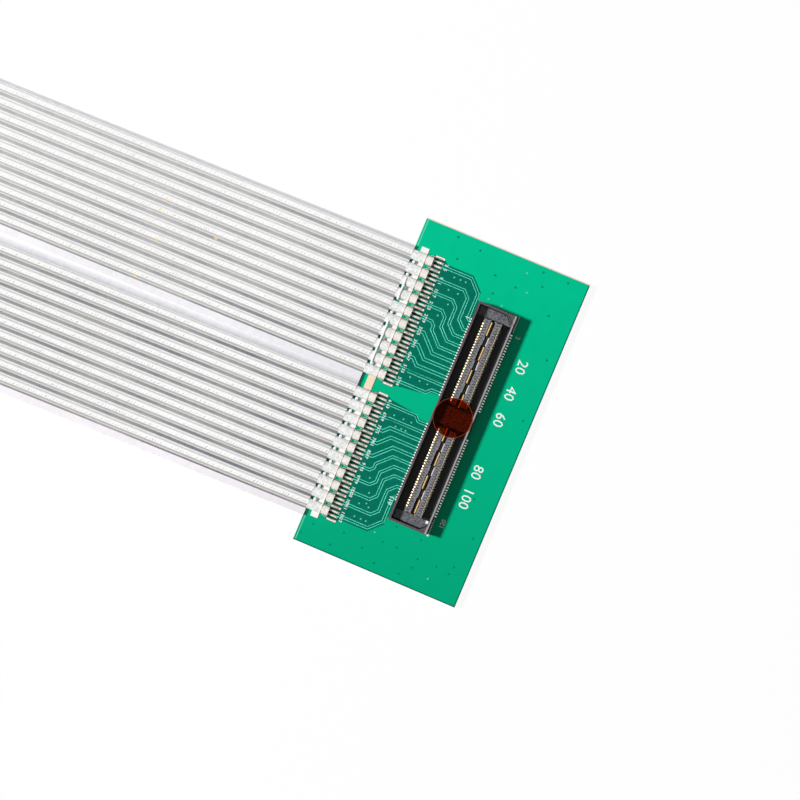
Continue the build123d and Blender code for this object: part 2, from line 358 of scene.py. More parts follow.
# %% The board's lacquer and its sawn edges
lacquer = new_finish(
    "green_lacquer_over_copper",
    (0.0, 0.49, 0.25),
    (0.0, 0.455, 0.23),
    (0.35, 0.42),
    2.2,
    bump=0.04,
    Specular_IOR_Level=0.02,
)
tree = lacquer.node_tree
shader = tree.nodes["Principled BSDF"]
board_x, board_y, board_height = board_axes(tree)

# The copper sheet stops short of the edge, which leaves a dark line on three sides. The light
# line just inside the edge on the cable's side is a painted highlight of that edge
half_width = (board_high.x - board_low.x) / 2
half_length = (board_high.y - board_low.y) / 2
end_room = math_node(tree, "SUBTRACT", half_length, math_node(tree, "ABSOLUTE", board_y))
# Painted light gradient: the green is painted lighter towards +Y, for light that is stronger at that end
painted_light_falloff = ease(tree, board_y, -half_length, half_length)
painted_light_gradient = mix_colours(tree, painted_light_falloff, (0.0, 0.35, 0.175), (0.0, 0.56, 0.29))
blotches = math_node(tree, "MULTIPLY", tree.nodes["Variation"].outputs["Height"], 0.5)
sheet = mix_colours(tree, blotches, painted_light_gradient, tree.nodes["Variation"].outputs["Colour"])
cable_room = math_node(tree, "SUBTRACT", board_x, -half_width)
# Painted highlight: a light line inside the edge on the cable's side, which faces the lamp
painted_edge_highlight = math_node(tree, "MULTIPLY", within(tree, cable_room, 0.3 * mm, 0.48 * mm), 0.45)
lined = mix_colours(tree, painted_edge_highlight, sheet, (0.25, 0.80, 0.58))
open_room = math_node(tree, "MINIMUM", math_node(tree, "SUBTRACT", half_width, board_x), end_room)
dark_line = math_node(tree, "LESS_THAN", open_room, 0.2 * mm)
lined = mix_colours(tree, dark_line, lined, (0.0, 0.13, 0.08))

# At one end the lacquer stops early and bare laminate shows beyond another dark line
bare_room = math_node(tree, "SUBTRACT", half_length, board_y)
last_line = math_node(tree, "LESS_THAN", bare_room, 0.22 * mm)
lined = mix_colours(tree, last_line, lined, (0.0, 0.13, 0.08))
bare_end = math_node(tree, "LESS_THAN", bare_room, 0.19 * mm)
fibre = (0.86, 0.70, 0.58)
lined = mix_colours(tree, bare_end, lined, fibre)
facing = tree.nodes.new("ShaderNodeNewGeometry")
upright = split_axes(tree, facing, "Normal")[2]
is_edge = math_node(tree, "LESS_THAN", math_node(tree, "ABSOLUTE", upright), 0.5)
tree.links.new(mix_colours(tree, is_edge, lined, (0.52, 0.48, 0.34)), shader.inputs["Base Color"])
dress("circuit_board", lacquer)

bare_laminate = new_finish(
    "green_lacquer_over_bare_laminate",
    (0.0, 0.135, 0.085),
    (0.0, 0.18, 0.12),
    (0.35, 0.45),
    0.35,
    bump=0.12,
    Specular_IOR_Level=0.03,
)
# Partly painted shade: between the pads the lacquer is painted darker than the bare laminate, for the shade in the
# trough there
pad_strip_laminate_and_shade = new_finish(
    "lacquer_and_painted_shade_between_pads", (0.0, 0.05, 0.03), (0.0, 0.10, 0.065), (0.35, 0.5), 0.4,
    Specular_IOR_Level=0.03,
)

# A sheet of painted shade: the board beside each ribbon's end is painted dark teal where the ribbon's end shades it
shaded_strip_lacquer = new_finish(
    "lacquer_with_painted_shade", (0.0, 0.27, 0.19), (0.03, 0.38, 0.28), (0.25, 0.4), 0.4,
    Specular_IOR_Level=0.1,
)

# %% [markdown]
# ## Etched windows
#
# The two areas where the tracks run have no copper sheet under the lacquer, and neither have
# the two strips between the pads, which are painted darker still, partly as painted shade. A
# strip beside each ribbon's end is a sheet of painted shade, where the ribbon's end shades the
# board. Each is a thin plate: an outline of a few points, filled as one face and raised by a
# hundredth of a millimetre. What lies on the -Y half of the board mirrors the +Y half.

# %% The etched windows
window_height = 0.01 * mm
window_outline = [
    (-9.7, 25.0),
    (-8.9, 24.4),
    (-3.95, 24.4),
    (-1.65, 22.15),
    (-1.65, 20.8),
    (-1.0, 20.3),
    (-1.0, 2.55),
    (-2.8, 2.55),
    (-3.85, 1.9),
    (-8.9, 1.3),
    (-9.7, 0.9),
]
pad_strip_outline = [(-11.65, 25.2), (-9.7, 25.2), (-9.7, 0.8), (-11.65, 0.8)]
cable_strip_outline = [(-15.4, 24.6), (-14.25, 24.6), (-14.25, 1.4), (-15.4, 1.4)]


def etched_window(name, outline, side, finish):
    """One etched window, on the +Y or the -Y half of the board."""
    bm = bmesh.new()
    corners = [bm.verts.new((x * mm, side * y * mm, top)) for x, y in outline]
    face = bm.faces.new(corners)
    raised = bmesh.ops.extrude_face_region(bm, geom=[face])
    lifted = [item for item in raised["geom"] if isinstance(item, bmesh.types.BMVert)]
    bmesh.ops.translate(bm, verts=lifted, vec=(0, 0, window_height))
    return finish_bmesh(bm, name, finish, "green_board")


for group, side in (("1", 1), ("2", -1)):
    etched_window(f"etched_window_{group}", window_outline, side, bare_laminate)
    etched_window(f"etched_pad_strip_{group}", pad_strip_outline, side, pad_strip_laminate_and_shade)
    # The strip beside the ribbon's end is painted shade, not an etched window
    etched_window(f"shaded_cable_strip_{group}", cable_strip_outline, side, shaded_strip_lacquer)

# %% [markdown]
# ## Tracks
#
# Each wire pair goes on as two copper tracks that stay side by side: away from the pads,
# down at 45 degrees, straight down, at 45 degrees again and into the socket. For each pair
# we only choose where the first bend starts and how long the two slants are. A helper then
# moves the middle line sideways, which gives the two parallel tracks.

# %% The tracks
track_radius = 0.085 * mm
track_flatness = 0.4
track_start = pads_end - 0.1 * mm
track_end = socket_x - 3.8 * mm
socket_side_gap = 0.25 * mm
pad_side_gap = 0.215 * mm
first_pad_y = 23.8 * mm
first_contact_y = 16.5 * mm
contact_pair_pitch = 1.5 * mm

# For each pair: where its first bend starts, and how far its first and second slants go
track_bends = [
    (-4.1, 2.1, 0.65),
    (-4.5, 1.1, 1.35),
    (-5.7, 1.0, 1.45),
    (-6.7, 0.9, 1.9),
    (-7.7, 0.6, 2.3),
    (-8.2, 1.4, 1.4),
    (-8.3, 0.95, 0.95),
    (-8.2, 0.5, 0.5),
    (-8.2, 0.05, 0.05),
    (-3.85, -0.4, -0.4),
]


def sideways(points, distance):
    """The line beside a line of flat points, at an even distance."""
    moved = []
    for index, point in enumerate(points):
        before = points[max(index - 1, 0)]
        after = points[min(index + 1, len(points) - 1)]
        into = (point - before).normalized() if index else (after - point).normalized()
        out = (after - point).normalized() if index < len(points) - 1 else into
        bisector = (into + out).normalized()
        normal = Vector((-bisector.y, bisector.x))
        moved.append(point + normal * distance / max(normal.dot(Vector((-into.y, into.x))), 0.5))
    return moved


def track_line(index, side, mirror):
    """One of the two tracks of a pair, as points on the board's top."""
    bend_x, first_slant, second_slant = [value * mm for value in track_bends[index]]
    start_y = first_pad_y - index * pair_pitch
    end_y = first_contact_y - index * contact_pair_pitch
    corners = [(track_start, start_y), (bend_x, start_y)]
    corners.append((bend_x + abs(first_slant), start_y - first_slant))
    corners.append((bend_x + abs(first_slant), end_y + second_slant))
    corners.append((bend_x + abs(first_slant) + abs(second_slant), end_y))
    corners.append((track_end, end_y))
    line = []
    for corner in corners:
        spot = Vector(corner)
        if not line or (spot - line[-1]).length > 0.02 * mm:
            line.append(spot)
    gap = socket_side_gap if index in (5, 6, 7) else pad_side_gap
    return [(x, mirror * y, top) for x, y in sideways(line, side * gap)]


track_lines = [
    track_line(index, side, mirror)
    for mirror in (1, -1)
    for index in range(pair_count)
    for side in (1, -1)
]
track_mesh = mesh_of(line_object("tracks", track_lines, "POLY", track_radius, 1))
flatten = Matrix.Translation((0, 0, top)) @ Matrix.Diagonal((1, 1, track_flatness, 1))
track_mesh.transform(flatten @ Matrix.Translation((0, 0, -top)))
track_mesh.shade_smooth()
track_tint = new_finish(
    "lacquered_track", (0.04, 0.66, 0.42), (0.16, 0.82, 0.60), (0.25, 0.35), 0.5, Specular_IOR_Level=0.3
)
tracks = add_piece(track_mesh, "tracks", track_tint, "green_board")
print("tracks", len(track_lines))

# %% [markdown]
# ## Through holes under the lacquer
#
# Small plated holes tie the copper layers together. Those in the etched windows show as
# light spots, and those in the copper sheet as faint dark dimples. Each is a small disc.

# %% The plated holes
hole_radius = 0.16 * mm
hole_height = 0.02 * mm
window_holes = [
    (-7.0, 22.8), (-5.8, 22.8), (-4.8, 22.8), (-7.1, 20.4), (-5.3, 20.4),
    (-6.2, 18.0), (-7.1, 15.5), (-7.4, 3.65), (-5.6, 3.65), (-4.1, 3.65),
]
lower_window_holes = [(-6.4, -5.4), (-5.3, -5.4), (-4.5, -5.4), (-5.9, -19.9)]
sheet_holes = [
    (7.1, 29.6), (11.8, 29.5), (3.6, 25.3), (10.9, 22.9), (11.3, -11.8), (-0.6, -25.0),
    (2.0, -25.0), (6.2, -25.4), (9.8, -25.4), (12.3, -25.7), (-14.7, -29.1), (-9.0, -29.1),
    (-0.6, -29.1), (4.1, -29.1), (12.7, -24.2), (-9.1, 29.6), (-4.6, 28.9), (13.9, 4.2),
    (0.3, 22.8), (-0.5, 25.9), (-7.8, 26.0), (0.6, -21.6), (5.5, -22.1), (-7.6, -26.2),
    (13.8, -18.3), (7.9, 27.2), (-3.6, -27.4), (13.6, 15.6), (-13.2, -26.9), (5.9, -27.2),
]


pale_specks = [(4.5, 28.4), (5.8, 25.2), (-2.6, -24.0), (0.0, 21.6), (2.6, 21.4), (9.2, -27.9)]


def discs(name, places, radius, height, material):
    """Flat round spots on the board's top."""
    bm = bmesh.new()
    for x, y in places:
        spot = Matrix.Translation((x * mm, y * mm, top))
        made = bmesh.ops.create_circle(bm, cap_ends=True, segments=12, radius=radius, matrix=spot)
        faces = list({face for vert in made["verts"] for face in vert.link_faces})
        raised = bmesh.ops.extrude_face_region(bm, geom=faces)
        lifted = [item for item in raised["geom"] if isinstance(item, bmesh.types.BMVert)]
        bmesh.ops.translate(bm, verts=lifted, vec=(0, 0, height))
    return finish_bmesh(bm, name, material, "green_board")


hole_tint = new_finish(
    "lacquered_hole", (0.06, 0.50, 0.32), (0.16, 0.62, 0.44), (0.25, 0.35), 0.2
)
dimple_tint = new_finish(
    "lacquered_dimple", (0.0, 0.21, 0.11), (0.0, 0.29, 0.16), (0.3, 0.4), 0.2,
    Specular_IOR_Level=0.02,
)
mirrored_holes = [(x, -y) for x, y in window_holes]
discs("window_holes", window_holes + mirrored_holes + lower_window_holes, hole_radius, hole_height, hole_tint)
discs("sheet_holes", sheet_holes, 1.3 * hole_radius, hole_height / 2, dimple_tint)
discs("pale_specks", pale_specks, hole_radius, hole_height / 2, hole_tint)

# %% [markdown]
# ## Printed numbers
#
# The board carries plain contact numbers in white ink: small odd ones beside the pads, and
# larger ones beside the socket. Text becomes a mesh before it is put in its place, so that
# its object can stay at the origin.

# %% The printed numbers
ink = new_finish("white_ink", (0.96, 0.97, 0.96), (0.82, 0.88, 0.85), (0.5, 0.6), 0.15)
ink_height = 0.012 * mm


def number_mesh(words, size, x, y, turn):
    """A number as a thin mesh, middle at x and y, turned about the upright axis."""
    text = bpy.data.curves.new("number", "FONT")
    text.body = words
    text.size = size
    text.align_x = "CENTER"
    text.align_y = "CENTER"
    text.extrude = ink_height / 2
    text.offset = size * 0.015 if size < 2 * mm else 0.0
    text.resolution_u = 2
    mesh = mesh_of(bpy.data.objects.new("number", text))
    place = Matrix.Translation((x, y, top + ink_height / 2))
    mesh.transform(place @ Matrix.Rotation(turn, 4, "Z"))
    return mesh


def print_numbers(name, labels):
    """Join the meshes of many numbers into one printed piece."""
    bm = bmesh.new()
    for label in labels:
        mesh = number_mesh(*label)
        bm.from_mesh(mesh)
        bpy.data.meshes.remove(mesh)
    return finish_bmesh(bm, name, ink, "green_board")


down = -math.pi / 2
small, medium, large = 0.8 * mm, 1.1 * mm, 2.6 * mm
labels = []
for index, y in enumerate(pair_places(group_offset)):
    labels.append((str(6 * index + 3), small, -9.05 * mm, y + pad_pitch / 2, down))
    labels.append((str(6 * index + 5), small, -9.05 * mm, y - pad_pitch / 2, down))
for index, y in enumerate(pair_places(-group_offset)):
    labels.append((str(6 * index + 61), small, -9.05 * mm, y + pad_pitch / 2, down))
    labels.append((str(6 * index + 63), small, -9.05 * mm, y - pad_pitch / 2, down))
labels.append(("1", medium, -2.2 * mm, 17.25 * mm, down))
labels.append(("2", medium, 7.4 * mm, 17.25 * mm, down))
labels.append(("119", medium, -2.2 * mm, -17.7 * mm, down))
labels.append(("120", medium, 7.9 * mm, -18.0 * mm, -down))
for number, y in ((20, 12.75), (40, 7.75), (60, 2.75), (80, -7.25), (100, -12.25)):
    labels.append((str(number), large, 9.9 * mm, y * mm, down))
print_numbers("printed_numbers", labels)

# %% [markdown]
# ## The printed outline
#
# Two white lines mark the socket's corners on its free side, clear of the solder tails, and
# a dot marks one of them. Each line is a cube that is stretched and then moved.

# %% The printed outline
bm = bmesh.new()
for line_y in (19.3 * mm, -19.3 * mm):
    place = Matrix.Translation((socket_x + 3.83 * mm, line_y, top + ink_height / 2))
    bmesh.ops.create_cube(bm, size=1, matrix=place @ Matrix.Diagonal((0.18 * mm, 3.1 * mm, ink_height, 1)))
place = Matrix.Translation((socket_x + 3.8 * mm, -20.85 * mm, top + ink_height / 2))
bmesh.ops.create_cube(bm, size=1, matrix=place @ Matrix.Diagonal((0.38 * mm, 0.32 * mm, ink_height, 1)))
finish_bmesh(bm, "printed_outline", ink, "green_board")

# %% [markdown]
# ## The socket
#
# The housing is moulded in black plastic that looks slightly purple where it faces the
# light. Its contacts and the blades in its middle slot are plated with gold. Their solids
# have the right shape already, so they only get a finish.

# %% The socket's finishes
moulded = new_finish(
    "black_moulded_plastic",
    (0.014, 0.013, 0.015),
    (0.026, 0.025, 0.029),
    (0.5, 0.62),
    0.3,
    bump=0.2,
    Specular_IOR_Level=0.3,
)
tree = moulded.node_tree
facing = tree.nodes.new("ShaderNodeNewGeometry")
upright = split_axes(tree, facing, "Normal")[2]
upward_painted_sheen = ease(tree, upright, 0.5, 0.95)
from_x, from_y, height = board_axes(tree)
from_x = math_node(tree, "SUBTRACT", from_x, socket_x)
side_x = math_node(tree, "ABSOLUTE", from_x)
side_y = math_node(tree, "ABSOLUTE", from_y)

# Blocks, ribs and rim get painted sheen: their upward faces are painted a lighter grey where they
# catch the light, and each has a height of its own
plastic = tree.nodes["Variation"].outputs["Colour"]
painted_sheen_steps = [
    (1.0, (0.035, 0.035, 0.04), (0.19, 0.195, 0.21)),
    (2.0, (0.09, 0.09, 0.10), (0.29, 0.295, 0.32)),
    (3.0, (0.055, 0.048, 0.052), (0.12, 0.105, 0.115)),
]
for level, first, second in painted_sheen_steps:
    over = math_node(tree, "GREATER_THAN", height, top + level * mm)
    mottled_sheen = place_variation(tree, first, second, 0.3)
    plastic = mix_colours(tree, over, plastic, mottled_sheen.outputs["Colour"])

# A line of painted shade runs round the blocks, inside the walls and the two cut corners, where
# the walls' inner faces fall dark
on_blocks = within(tree, height, top + 1.1 * mm, top + 1.5 * mm)
on_ribs = within(tree, height, top + 2.2 * mm, top + 2.5 * mm)
on_rim = math_node(tree, "GREATER_THAN", height, top + 3.0 * mm)
larger_cut = math_node(tree, "ADD", from_x, from_y)
smaller_cut = math_node(tree, "SUBTRACT", from_x, from_y)
painted_shade_line_edges = [
    math_node(tree, "GREATER_THAN", side_x, 3.12 * mm),
    math_node(tree, "GREATER_THAN", side_y, 20.1 * mm),
    math_node(tree, "GREATER_THAN", larger_cut, 21.8 * mm),
    math_node(tree, "GREATER_THAN", smaller_cut, 22.2 * mm),
]
painted_shade_line = combine(tree, "MULTIPLY", [combine(tree, "MAXIMUM", painted_shade_line_edges), on_blocks])

# Each contact's notch in the ribs is a stripe of painted shade, and the ribs' inner edges carry a
# painted highlight between the blades
notch = math_node(tree, "FRACT", math_node(tree, "DIVIDE", math_node(tree, "ADD", side_y, 0.125 * mm), 0.5 * mm))
painted_notch_shade = combine(
    tree, "MULTIPLY", [within(tree, side_x, 0.75 * mm, 1.3 * mm), within(tree, notch, 0.6, 0.9), on_ribs]
)
painted_notch_shade = math_node(tree, "MULTIPLY", painted_notch_shade, 0.85)
# Painted highlight: the ribs' inner edges between the blades
painted_glint = combine(tree, "MULTIPLY", [within(tree, from_x, 0.28 * mm, 0.46 * mm), on_ribs])
# Painted highlight: a small white glint on one corner of the block at the -Y end
spot = combine(
    tree,
    "MULTIPLY",
    [within(tree, from_x, 2.6 * mm, 3.05 * mm), within(tree, from_y, -18.95 * mm, -18.4 * mm), on_blocks],
)
outer_edges = [
    math_node(tree, "LESS_THAN", from_x, -3.48 * mm),
    math_node(tree, "GREATER_THAN", side_y, 20.53 * mm),
]
outer_edge = combine(tree, "MULTIPLY", [combine(tree, "MAXIMUM", outer_edges), on_rim])
# Painted highlight: the rim's top on the free side is painted light grey, as a lit flat top
free_side = combine(tree, "MULTIPLY", [within(tree, from_x, 3.2 * mm, 3.7 * mm), on_rim])
corner_mark = combine(tree, "MULTIPLY", [within(tree, larger_cut, 22.3 * mm, 22.45 * mm), on_rim])
painted = [
    (painted_shade_line, (0.006, 0.006, 0.007)),
    (painted_notch_shade, (0.012, 0.012, 0.013)),
    (painted_glint, (0.70, 0.70, 0.72)),
    (spot, (0.95, 0.95, 0.95)),
    (outer_edge, (0.20, 0.07, 0.11)),
    (free_side, (0.34, 0.34, 0.35)),
    (corner_mark, (0.012, 0.012, 0.013)),
]
for mask, tint in painted:
    plastic = mix_colours(tree, mask, plastic, tint)
# Only upward faces take the painted sheen; upright faces keep the black plastic's own colour
plastic = mix_colours(tree, upward_painted_sheen, tree.nodes["Variation"].outputs["Colour"], plastic)
tree.links.new(plastic, tree.nodes["Principled BSDF"].inputs["Base Color"])

# %% The metals' finishes
gold = new_finish(
    "gold_plating",
    (0.80, 0.45, 0.15),
    (0.96, 0.66, 0.30),
    (0.18, 0.3),
    0.3,
    bump=0.1,
    Metallic=0.6,
)
contact_gold = new_finish(
    "pale_gold_plating", (0.70, 0.50, 0.27), (0.88, 0.72, 0.48), (0.32, 0.45), 0.3, bump=0.1
)
tree = contact_gold.node_tree
shader = tree.nodes["Principled BSDF"]
contact_x, contact_y, contact_height = board_axes(tree)
on_tail = math_node(tree, "LESS_THAN", contact_height, top + 0.3 * mm)
on_free_side = math_node(tree, "GREATER_THAN", contact_x, socket_x)
tail_colour = mix_colours(tree, on_tail, tree.nodes["Variation"].outputs["Colour"], (1.0, 0.97, 0.92))
tree.links.new(tail_colour, shader.inputs["Base Color"])
tail_metal = math_node(tree, "ADD", math_node(tree, "MULTIPLY", on_free_side, 0.75), -0.45)
metal = math_node(tree, "ADD", math_node(tree, "MULTIPLY", on_tail, tail_metal), 0.65)
tree.links.new(metal, shader.inputs["Metallic"])
solder = new_finish("bright_solder", (0.93, 0.85, 0.76), (1.0, 0.97, 0.92), (0.2, 0.4), 0.3, bump=0.2)

# The pads are bright along their middles, under the wires, and dull at their sides
pad_metal = new_finish("soldered_pad", (0.92, 0.84, 0.74), (1.0, 0.96, 0.90), (0.2, 0.4), 0.3, bump=0.2)
tree = pad_metal.node_tree
pad_y = math_node(tree, "DIVIDE", math_node(tree, "ABSOLUTE", board_axes(tree)[1]), pad_pitch)
pad_share = math_node(tree, "FRACT", math_node(tree, "ADD", pad_y, 0.25))
off_middle = math_node(tree, "ABSOLUTE", math_node(tree, "SUBTRACT", pad_share, 0.5))
dull = ease(tree, off_middle, 0.19, 0.25)
pad_colour = mix_colours(tree, dull, tree.nodes["Variation"].outputs["Colour"], (0.12, 0.09, 0.06))
tree.links.new(pad_colour, tree.nodes["Principled BSDF"].inputs["Base Color"])

# The strip is cream between the ribbons and white with solder under the wraps
strip_tin = new_finish("tinned_ground_strip", (0.86, 0.82, 0.78), (0.98, 0.95, 0.92), (0.35, 0.5), 0.5, bump=0.2)
tree = strip_tin.node_tree
between = math_node(tree, "LESS_THAN", math_node(tree, "ABSOLUTE", board_axes(tree)[1]), 1.6 * mm)
strip_colour = mix_colours(tree, between, tree.nodes["Variation"].outputs["Colour"], (0.86, 0.68, 0.50))
tree.links.new(strip_colour, tree.nodes["Principled BSDF"].inputs["Base Color"])
tree = gold.node_tree
place = tree.nodes.new("ShaderNodeTexCoord")
height = split_axes(tree, place, "Object")[2]
# Painted shade: the blades are painted near black deep in the slot, below their tips
in_slot = math_node(tree, "GREATER_THAN", height, top + 0.3 * mm)
below_tips = math_node(tree, "LESS_THAN", height, top + 2.0 * mm)
painted_slot_shade = math_node(tree, "MULTIPLY", in_slot, below_tips)
lit_gold = tree.nodes["Variation"].outputs["Colour"]
gold_colour = mix_colours(tree, painted_slot_shade, lit_gold, (0.05, 0.03, 0.012))
tree.links.new(gold_colour, tree.nodes["Principled BSDF"].inputs["Base Color"])
tin = new_finish(
    "tinned_copper",
    (0.80, 0.72, 0.65),
    (0.95, 0.90, 0.84),
    (0.2, 0.38),
    0.3,
    bump=0.4,
    Metallic=0.6,
)
dress("socket_housing", moulded)
for bank in ("1", "2"):
    dress(f"ground_blade_{bank}", gold)
for group in groups:
    dress(f"signal_pads_{group}", pad_metal)
    dress(f"ground_pads_{group}", pad_metal)
dress("ground_strip", strip_tin)

# %% [markdown]
# ## The contacts
#
# Each contact is a formed spring. Its tail lies on the board, its leaf climbs the rib and
# bows outwards, and its tip curls over, so that the plug slides in. We draw the middle line
# of its side view, give it a thickness, and push the outline out to the contact's width.

# %% The formed contacts
contact_line = [
    (3.97, 0.06), (1.62, 0.06), (1.42, 0.16), (1.36, 0.40), (1.37, 1.00), (1.50, 1.50),
    (1.67, 1.80), (1.70, 1.98), (1.62, 2.10), (1.48, 2.15), (1.32, 2.14),
]
contact_thickness = 0.12 * mm
contact_width = 0.23 * mm
contact_pitch = 0.5 * mm
contacts_per_bank = 30
bank_offset = 10.0 * mm


def contact_outline(side):
    """The closed outline of one contact's side view, as (x, height) pairs."""
    line = [Vector((x * mm, z * mm)) for x, z in contact_line]
    edges = []
    for distance in (contact_thickness / 2, -contact_thickness / 2):
        edges.append(sideways(line, distance))
    outline = edges[0] + edges[1][::-1]
    return [(socket_x + side * x, top + max(z, 0.0)) for x, z in outline]


def contact_row(name, bank_y, side):
    """Thirty contacts, on one side of one bank."""
    bm = bmesh.new()
    outline = contact_outline(side)
    for index in range(contacts_per_bank):
        y = bank_y + (index - (contacts_per_bank - 1) / 2) * contact_pitch - contact_width / 2
        face = bm.faces.new([bm.verts.new((x, y, z)) for x, z in outline])
        pushed = bmesh.ops.extrude_face_region(bm, geom=[face])
        verts = [item for item in pushed["geom"] if isinstance(item, bmesh.types.BMVert)]
        bmesh.ops.translate(bm, verts=verts, vec=(0, contact_width, 0))
    return finish_bmesh(bm, name, contact_gold, "gold_contact", smooth_angle=50)


for bank, bank_y in (("1", bank_offset), ("2", -bank_offset)):
    for row, side in (("cable_side", -1), ("free_side", 1)):
        contacts = contact_row(f"formed_contacts_{row}_{bank}", bank_y, side)
        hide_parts(f"contacts_{row}_{bank}")

# %% [markdown]
# ## The pick-up film
#
# A round piece of dark amber film is stuck on the rim, so that a suction nozzle can lift
# the socket. The light goes straight through it and comes back red-brown, so its shader is
# mostly a Transparent one, with a little dark red of its own. Its rim is painted brighter
# orange-red and less clear, as painted light caught in the film's edge. It is a thin disc
# that sags a little where nothing carries it.

# %% The pick-up film
film_low, film_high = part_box("pickup_film")
film_radius = (film_high.x - film_low.x) / 2
amber = new_finish(
    "amber_film", (0.04, 0.006, 0.002), (0.08, 0.012, 0.003), (0.12, 0.22), 1.2, bump=0.3,
    Specular_IOR_Level=0.2,
)
tree = amber.node_tree
film_x, film_y, film_height = board_axes(tree)
film_x = math_node(tree, "SUBTRACT", film_x, socket_x)
squared_x = math_node(tree, "MULTIPLY", film_x, film_x)
squared_y = math_node(tree, "MULTIPLY", film_y, film_y)
from_centre = math_node(tree, "SQRT", math_node(tree, "ADD", squared_x, squared_y))
# Painted light: the rim is painted brighter orange-red and less clear, for light caught in the film's edge
painted_rim_light = math_node(tree, "GREATER_THAN", from_centre, film_radius - 0.09 * mm)
tint = mix_colours(tree, painted_rim_light, tree.nodes["Variation"].outputs["Colour"], (0.42, 0.06, 0.01))
tree.links.new(tint, tree.nodes["Principled BSDF"].inputs["Base Color"])
see_through = tree.nodes.new("ShaderNodeBsdfTransparent")
see_through.inputs["Color"].default_value = (0.80, 0.42, 0.27, 1)
choose = tree.nodes.new("ShaderNodeMixShader")
clearness = math_node(tree, "SUBTRACT", 0.96, math_node(tree, "MULTIPLY", painted_rim_light, 0.45))
tree.links.new(clearness, choose.inputs[0])
tree.links.new(tree.nodes["Principled BSDF"].outputs[0], choose.inputs[1])
tree.links.new(see_through.outputs[0], choose.inputs[2])
tree.links.new(choose.outputs[0], tree.nodes["Material Output"].inputs["Surface"])

film_thickness = film_high.z - film_low.z
film_sag = 0.12 * mm
bm = bmesh.new()
middle = Matrix.Translation((socket_x, 0, film_low.z))
bmesh.ops.create_circle(bm, cap_ends=True, cap_tris=True, segments=48, radius=film_radius, matrix=middle)
bmesh.ops.subdivide_edges(bm, edges=bm.edges, cuts=3, use_grid_fill=True)
carried = (housing_high.x - housing_low.x) / 2 - 0.35 * mm
for vert in bm.verts:
    outward = abs(vert.co.x - socket_x) / carried
    vert.co.z -= film_sag * max(0.0, 1 - outward * outward)
raised = bmesh.ops.extrude_face_region(bm, geom=list(bm.faces))
lifted = [item for item in raised["geom"] if isinstance(item, bmesh.types.BMVert)]
bmesh.ops.translate(bm, verts=lifted, vec=(0, 0, film_thickness))
film = finish_bmesh(bm, "pickup_film_dressed", amber, "amber_film", smooth_angle=40)
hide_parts("pickup_film")

# %% [markdown]
# ## Wire ends
#
# At the board each pair loses its wrap, then its insulation, and its two bare wires step
# down to their pads. A drain wire on each side slants to the ground pads. A spline with a
# round section makes each wire.

# %% The bare wires
wire_radius = 0.13 * mm
drain_radius = 0.075 * mm
pad_top = pads_high.z
wire_tip = insulation_end + 1.55 * mm
knee = insulation_end + 0.35 * mm


def signal_wire(y):
    """From inside the insulation, down to the pad and along it."""
    rest = pad_top + wire_radius
    return [
        (insulation_end - 0.3 * mm, y, pair_z),
        (insulation_end + 0.05 * mm, y, pair_z),
        (knee, y, rest),
        (wire_tip, y, rest),
    ]


def drain_wire(y, side):
    """From the end of the wrap, slanting out to the ground pad beside the pair."""
    near = y + side * 0.81 * mm
    far = y + side * 1.12 * mm
    rest = pad_top + drain_radius
    return [
        (shield_end - 0.4 * mm, near, pair_z - 0.1 * mm),
        (shield_end + 0.2 * mm, near, rest + 0.15 * mm),
        (insulation_end, far, rest),
        (insulation_end + 1.45 * mm, far, rest),
    ]


for group, group_y in groups.items():
    signals = [signal_wire(y + side * pad_pitch / 2) for y in pair_places(group_y) for side in (1, -1)]
    drains = [drain_wire(y, side) for y in pair_places(group_y) for side in (1, -1)]
    wires = round_lines(f"bare_wires_{group}", signals, wire_radius, solder, "tinned_copper")
    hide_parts(f"signal_wires_{group}")
    wires = round_lines(f"drain_wires_{group}_round", drains, drain_radius, tin, "tinned_copper")
    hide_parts(f"drain_wires_{group}")

# %% [markdown]
# ## Insulation and wrap
#
# The insulation is off-white, soft and matt. The wrap around each pair is a milky film. Both
# are rods with an oval section: a circle that is stretched sideways and then extruded. A
# fine bead of pink flux follows the ends of the wraps.

# %% Insulation and wrap
cream = new_finish(
    "cream_insulation", (0.74, 0.70, 0.62), (0.98, 0.95, 0.90), (0.45, 0.6), 0.3, bump=0.3
)
milky = new_finish(
    "milky_wrap", (0.68, 0.70, 0.68), (1.0, 1.0, 0.99), (0.25, 0.45), 0.4, bump=0.4
)
flux = new_finish("pink_flux", (0.95, 0.78, 0.70), (1.0, 0.92, 0.86), (0.3, 0.4), 0.4, bump=0.2)


def rods(name, places, start_x, end_x, width, height, material, slot):
    """Straight rods along X with an oval section, one at each distance from the middle."""
    bm = bmesh.new()
    for y in places:
        turned = Matrix.Translation((start_x, y, pair_z)) @ Matrix.Rotation(math.pi / 2, 4, "Y")
        stretched = turned @ Matrix.Diagonal((height / 2, width / 2, 1, 1))
        made = bmesh.ops.create_circle(bm, cap_ends=True, segments=16, radius=1, matrix=stretched)
        faces = list({face for vert in made["verts"] for face in vert.link_faces})
        raised = bmesh.ops.extrude_face_region(bm, geom=faces)
        pushed = [item for item in raised["geom"] if isinstance(item, bmesh.types.BMVert)]
        bmesh.ops.translate(bm, verts=pushed, vec=(end_x - start_x, 0, 0))
    return finish_bmesh(bm, name, material, slot, smooth_angle=40)


